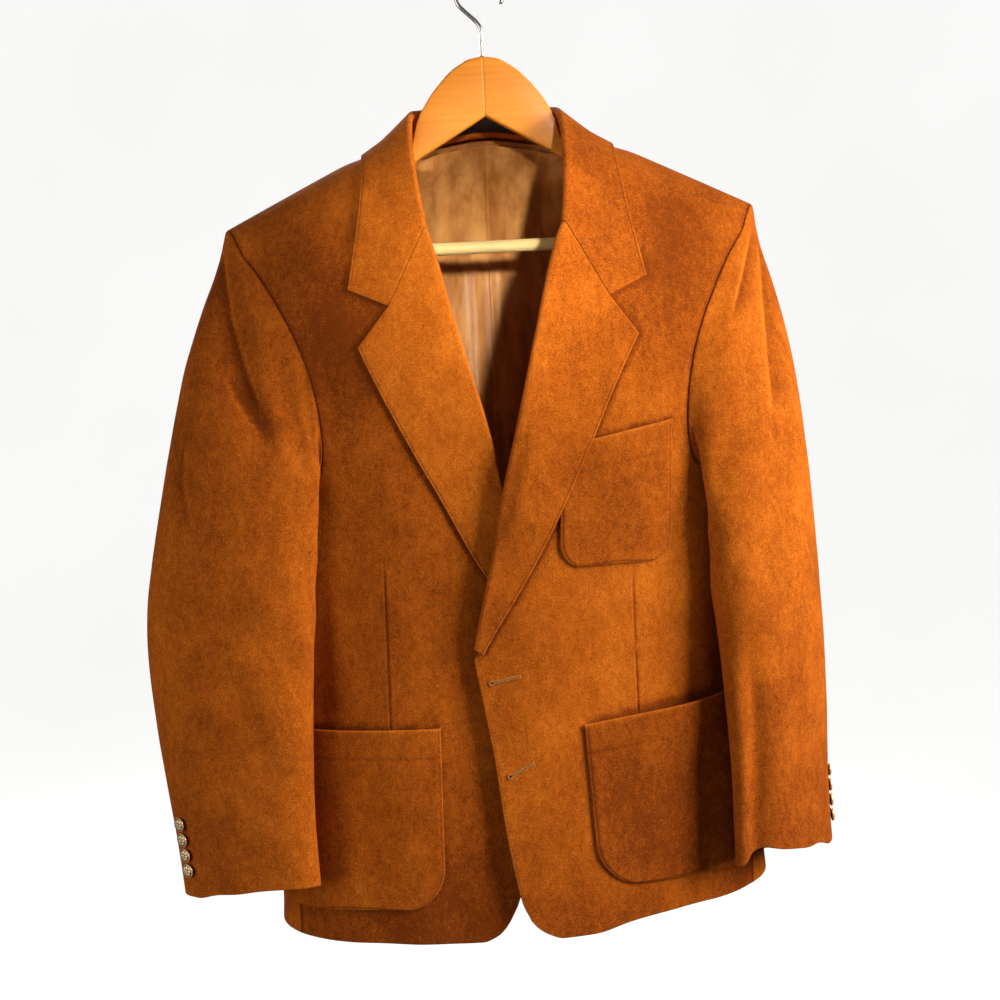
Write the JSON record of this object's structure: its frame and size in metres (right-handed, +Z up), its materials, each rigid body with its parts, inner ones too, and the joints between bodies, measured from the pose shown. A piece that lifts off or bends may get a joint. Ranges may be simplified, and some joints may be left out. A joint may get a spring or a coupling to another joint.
{
  "type": "blazer on a wooden hanger",
  "caption": "Single-breasted faux suede blazer with notched lapels and patch pockets, hung open-necked on a shaped wooden suit hanger with a trouser bar and wire hook.",
  "frame": {"origin": "inner top of the hook's loop, where the hanger hangs on a rail", "axes": "+Z up, -Y out of the front of the jacket, +X towards the wearer's left"},
  "size_m": [0.6112, 0.2216, 0.8655],
  "materials": {
    "suede": "matt brushed faux suede, rust to camel",
    "satin": "smooth tan lining satin",
    "label": "plain woven black, bare",
    "wood": "light wood, clear varnish",
    "steel": "bright plated wire",
    "brass": "antique brass, darkened in the recesses"
  },
  "bodies": {
    "root": {"front_left": "suede", "front_right": "suede", "side_left": "suede", "side_right": "suede", "back_left": "suede", "back_right": "suede", "sleeve_left": "suede", "sleeve_right": "suede", "collar": "suede", "lapel_left": "suede", "lapel_right": "suede", "pocket_breast": "suede", "pocket_left": "suede", "pocket_right": "suede", "lining_back": "satin", "label": "label", "cuff_button_left_1": "brass", "cuff_button_left_2": "brass", "cuff_button_left_3": "brass", "cuff_button_left_4": "brass", "cuff_button_right_1": "brass", "cuff_button_right_2": "brass", "cuff_button_right_3": "brass", "cuff_button_right_4": "brass", "front_button_1": "brass", "front_button_2": "brass", "hanger_wood": "wood", "hanger_bar": "wood", "hanger_hook": "steel"}
  },
  "joints": []
}
